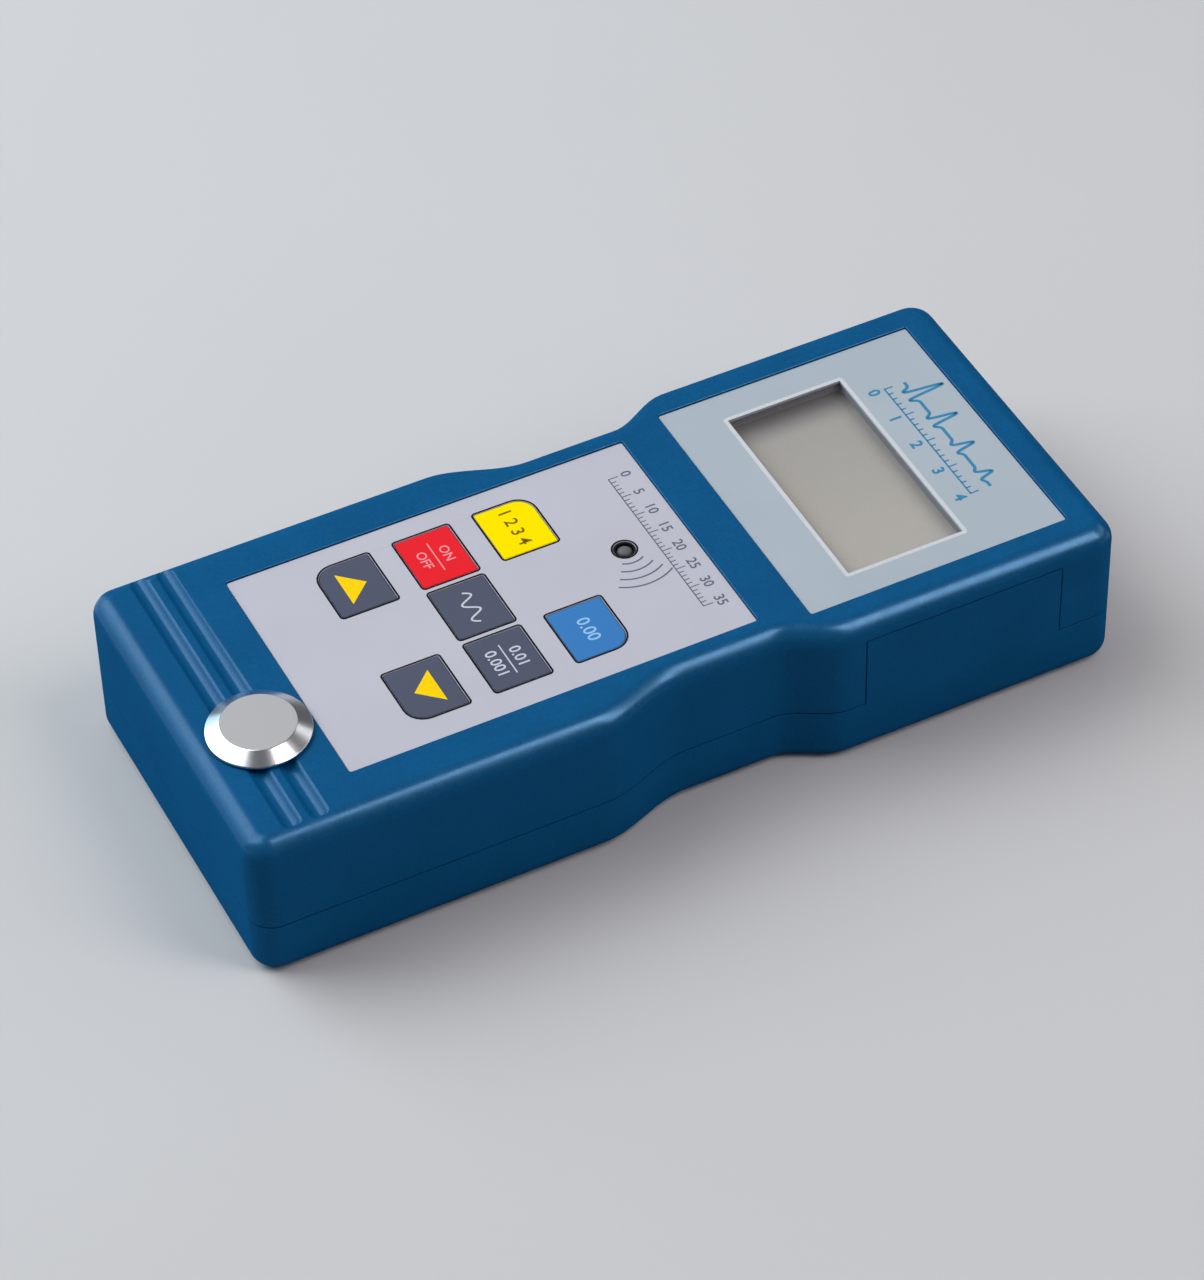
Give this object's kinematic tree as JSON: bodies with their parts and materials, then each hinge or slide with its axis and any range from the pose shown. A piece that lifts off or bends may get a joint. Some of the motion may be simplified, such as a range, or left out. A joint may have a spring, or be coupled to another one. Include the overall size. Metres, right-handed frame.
{
  "type": "ultrasonic thickness gauge",
  "caption": "Hand-held gauge with a waisted plastic housing, recessed display and keypad, a steel test disc on the face, probe sockets in the end wall and a sliding battery door.",
  "frame": {"origin": "the middle of the gauge's bounding box in X and Y, on the plane of its back", "axes": "+Z out of the front face, +Y from the keypad end to the display end, +X to the right of a user who reads the display"},
  "size_m": [0.069, 0.1644, 0.032],
  "materials": {
    "housing_blue": "moulded blue plastic, satin",
    "label_grey": "printed film, satin",
    "dark_plastic": "moulded black",
    "key_grey": "moulded dark grey, satin",
    "key_red": "moulded red, satin",
    "key_yellow": "moulded yellow, satin",
    "key_blue": "moulded light blue, satin",
    "clear_pane": "clear, polished",
    "display_glass": "grey display, satin",
    "white_plastic": "moulded white",
    "board_green": "lacquered board",
    "grey_rubber": "moulded rubber",
    "steel": "turned and polished",
    "spring_plate": "plated spring steel",
    "cell_wrap": "printed film over a metal can",
    "lamp_lens": "clear grey, domed"
  },
  "bodies": {
    "housing": {"front_shell": "housing_blue", "rear_shell": "housing_blue", "keypad_overlay": "label_grey", "display_overlay": "label_grey", "display_window": "clear_pane", "display_glass": "display_glass", "display_tray": "white_plastic", "contact_strip_upper": "grey_rubber", "contact_strip_lower": "grey_rubber", "circuit_board": "board_green", "processor_chip": "dark_plastic", "timing_crystal": "steel", "coupling_lamp": "lamp_lens", "test_disc": "steel", "up_switch": "dark_plastic", "down_switch": "dark_plastic", "power_switch": "dark_plastic", "velocity_switch": "dark_plastic", "unit_switch": "dark_plastic", "select_switch": "dark_plastic", "calibrate_switch": "dark_plastic", "battery_cell_1": "cell_wrap", "battery_cell_2": "cell_wrap", "battery_cell_3": "cell_wrap", "battery_cell_4": "cell_wrap", "negative_terminal": "spring_plate", "positive_terminal": "spring_plate", "contact_bridge_1": "spring_plate", "contact_bridge_2": "spring_plate", "contact_bridge_3": "spring_plate", "probe_socket_left": "steel", "probe_socket_right": "steel", "socket_nut_left": "steel", "socket_nut_right": "steel", "housing_screw_1": "steel", "housing_screw_2": "steel", "housing_screw_3": "steel", "housing_screw_4": "steel", "board_screw_1": "steel", "board_screw_2": "steel", "board_screw_3": "steel", "board_screw_4": "steel"},
    "door": {"battery_door": "housing_blue"},
    "up_button": {"up_key": "key_grey", "up_plunger": "dark_plastic"},
    "down_button": {"down_key": "key_grey", "down_plunger": "dark_plastic"},
    "power_button": {"power_key": "key_red", "power_plunger": "dark_plastic"},
    "velocity_button": {"velocity_key": "key_grey", "velocity_plunger": "dark_plastic"},
    "unit_button": {"unit_key": "key_grey", "unit_plunger": "dark_plastic"},
    "select_button": {"select_key": "key_yellow", "select_plunger": "dark_plastic"},
    "calibrate_button": {"calibrate_key": "key_blue", "calibrate_plunger": "dark_plastic"}
  },
  "joints": [
    {"name": "battery_door_slide", "type": "slide", "parent": "housing", "child": "door", "axis": [0, -1, 0], "range_m": [0, 0.057]},
    {"name": "up_press", "type": "slide", "parent": "housing", "child": "up_button", "axis": [0, 0, -1], "range_m": [0, 0.0003], "stiffness_N_per_m": 3000},
    {"name": "down_press", "type": "slide", "parent": "housing", "child": "down_button", "axis": [0, 0, -1], "range_m": [0, 0.0003], "stiffness_N_per_m": 3000},
    {"name": "power_press", "type": "slide", "parent": "housing", "child": "power_button", "axis": [0, 0, -1], "range_m": [0, 0.0003], "stiffness_N_per_m": 3000},
    {"name": "velocity_press", "type": "slide", "parent": "housing", "child": "velocity_button", "axis": [0, 0, -1], "range_m": [0, 0.0003], "stiffness_N_per_m": 3000},
    {"name": "unit_press", "type": "slide", "parent": "housing", "child": "unit_button", "axis": [0, 0, -1], "range_m": [0, 0.0003], "stiffness_N_per_m": 3000},
    {"name": "select_press", "type": "slide", "parent": "housing", "child": "select_button", "axis": [0, 0, -1], "range_m": [0, 0.0003], "stiffness_N_per_m": 3000},
    {"name": "calibrate_press", "type": "slide", "parent": "housing", "child": "calibrate_button", "axis": [0, 0, -1], "range_m": [0, 0.0003], "stiffness_N_per_m": 3000}
  ]
}
